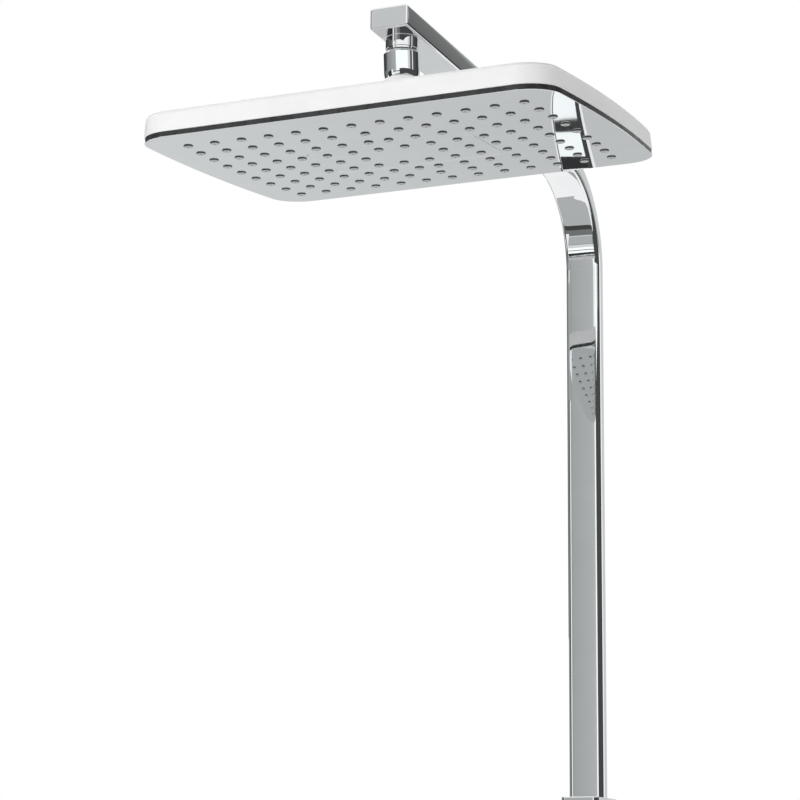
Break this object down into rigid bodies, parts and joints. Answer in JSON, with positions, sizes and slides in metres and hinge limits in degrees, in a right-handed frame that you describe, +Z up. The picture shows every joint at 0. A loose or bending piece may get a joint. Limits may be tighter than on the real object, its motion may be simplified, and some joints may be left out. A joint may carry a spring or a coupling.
{
  "type": "shower system",
  "caption": "Wall-fed shower column: flat tube riser with a forward bend, carrying a large rectangular overhead rain head with a mirror face and rows of nozzles on a ball joint.",
  "frame": {"origin": "centre of the two wall screws on the wall face, which is also the water inlet's axis", "axes": "+Y into the wall, -Y towards the room, +Z up along the riser"},
  "size_m": [0.323, 0.5625, 0.6432],
  "materials": {
    "chrome": "polished chrome",
    "plated_plastic": "chrome-plated, polished",
    "dark_trim": "gloss",
    "silicone": "satin silicone",
    "black_rubber": "matt",
    "brass": "machined",
    "white_plastic": "moulded",
    "grey_plastic": "moulded",
    "steel": "plain"
  },
  "bodies": {
    "column": {"riser_tube": "chrome", "arm_end_cap": "chrome", "outlet_spigot": "brass", "spigot_washer": "black_rubber", "strainer": "steel", "ball_stud": "chrome", "bracket_body": "chrome", "wall_plate": "steel", "plate_lock_screw": "steel", "grub_screw": "steel", "tail_plug": "brass", "tail_o_rings": "black_rubber", "inlet_filter": "steel", "inlet_seal": "black_rubber", "bottom_plug": "brass", "plug_washer": "black_rubber"},
    "swivel": {"upper_liner": "white_plastic"},
    "tilt": {"lower_seal": "black_rubber"},
    "head": {"retaining_nut": "chrome", "hub_insert": "brass", "hub_gasket": "black_rubber", "flow_regulator": "white_plastic", "regulator_o_ring": "black_rubber", "head_shell": "plated_plastic", "edge_trim": "dark_trim", "face_plate": "chrome", "centre_panel": "chrome", "nozzle_mat": "silicone", "backing_plate": "grey_plastic", "perimeter_gasket": "black_rubber", "backing_screws": "steel"}
  },
  "joints": [
    {"name": "head_swivel", "type": "hinge", "parent": "column", "child": "swivel", "pos_m": [0, -0.4422, 0.56685], "axis": [0, 0, 1], "continuous": true},
    {"name": "head_tilt", "type": "hinge", "parent": "swivel", "child": "tilt", "pos_m": [0, -0.4422, 0.56685], "axis": [1, 0, 0], "range_deg": [-15.6, 4.4]},
    {"name": "head_roll", "type": "hinge", "parent": "tilt", "child": "head", "pos_m": [0, -0.4422, 0.56685], "axis": [0, 1, 0], "range_deg": [-10, 10]}
  ]
}
